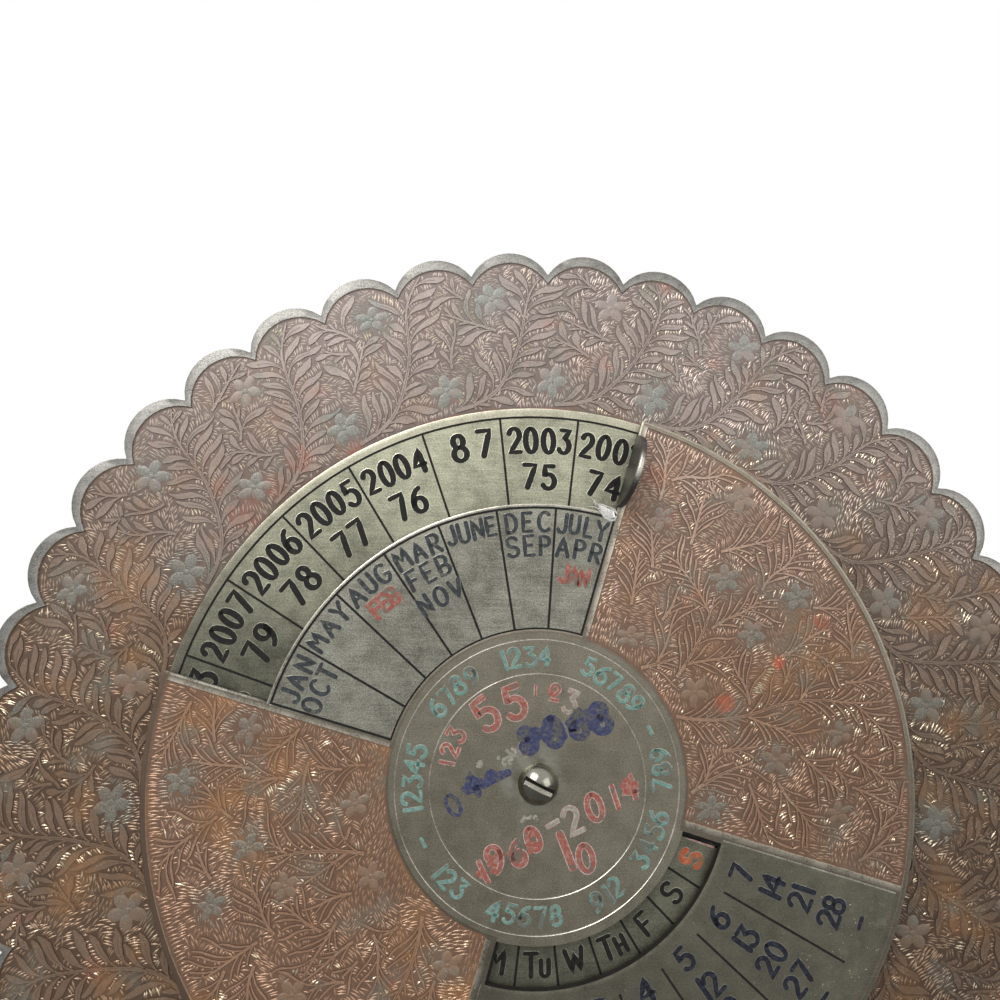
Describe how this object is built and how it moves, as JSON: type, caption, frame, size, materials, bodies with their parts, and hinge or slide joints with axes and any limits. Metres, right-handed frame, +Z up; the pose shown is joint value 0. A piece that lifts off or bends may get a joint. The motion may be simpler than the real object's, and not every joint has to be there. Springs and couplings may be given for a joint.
{
  "type": "perpetual calendar",
  "caption": "Round brass perpetual calendar for a desk: scalloped engraved plate, fixed year and weekday dial, turning cover with two windows and a finger tab, folding leg.",
  "frame": {"origin": "on the desk, under the centre of the standing calendar's bounding box", "axes": "+Z up, -Y towards the reader, +X to the reader's right; the plate's face looks along -Y and 16 degrees up"},
  "size_m": [0.17, 0.0638, 0.1638],
  "materials": {
    "engraved_plate": "engraved leaf scrolls, copper-brown lacquer, worn on the ridges",
    "dial_brass": "brushed pale brass, black filled numbers and lines",
    "engraved_cover": "engraved and lacquered with plain aged sectors",
    "rivet_brass": "dull turned brass",
    "screw_brass": "worn bright",
    "spring_steel": "dark satin",
    "stand_brass": "plain rolled sheet, aged",
    "ink_fill": "matt black or coloured filling in the punched marks",
    "teal_enamel": "worn grey-green enamel"
  },
  "bodies": {
    "plate": {"base_plate": "engraved_plate", "dial_disc": "dial_brass", "dial_rivets": "rivet_brass", "slip_washer": "rivet_brass", "centre_screw": "screw_brass", "back_washer": "rivet_brass", "spring_washer": "spring_steel", "back_nut": "screw_brass", "strut_bracket": "stand_brass", "bracket_rivets": "rivet_brass", "hinge_pin": "spring_steel"},
    "cover": {"cover_disc": "engraved_cover"},
    "leg": {"strut_leg": "stand_brass"}
  },
  "joints": [
    {"name": "cover_turn", "type": "hinge", "parent": "plate", "child": "cover", "pos_m": [0, -0.00727, 0.08172], "axis": [0, -0.9613, 0.2756], "continuous": true},
    {"name": "leg_fold", "type": "hinge", "parent": "plate", "child": "leg", "pos_m": [0, 0.00221, 0.10604], "axis": [-1, 0, 0], "range_deg": [0, 28]}
  ]
}
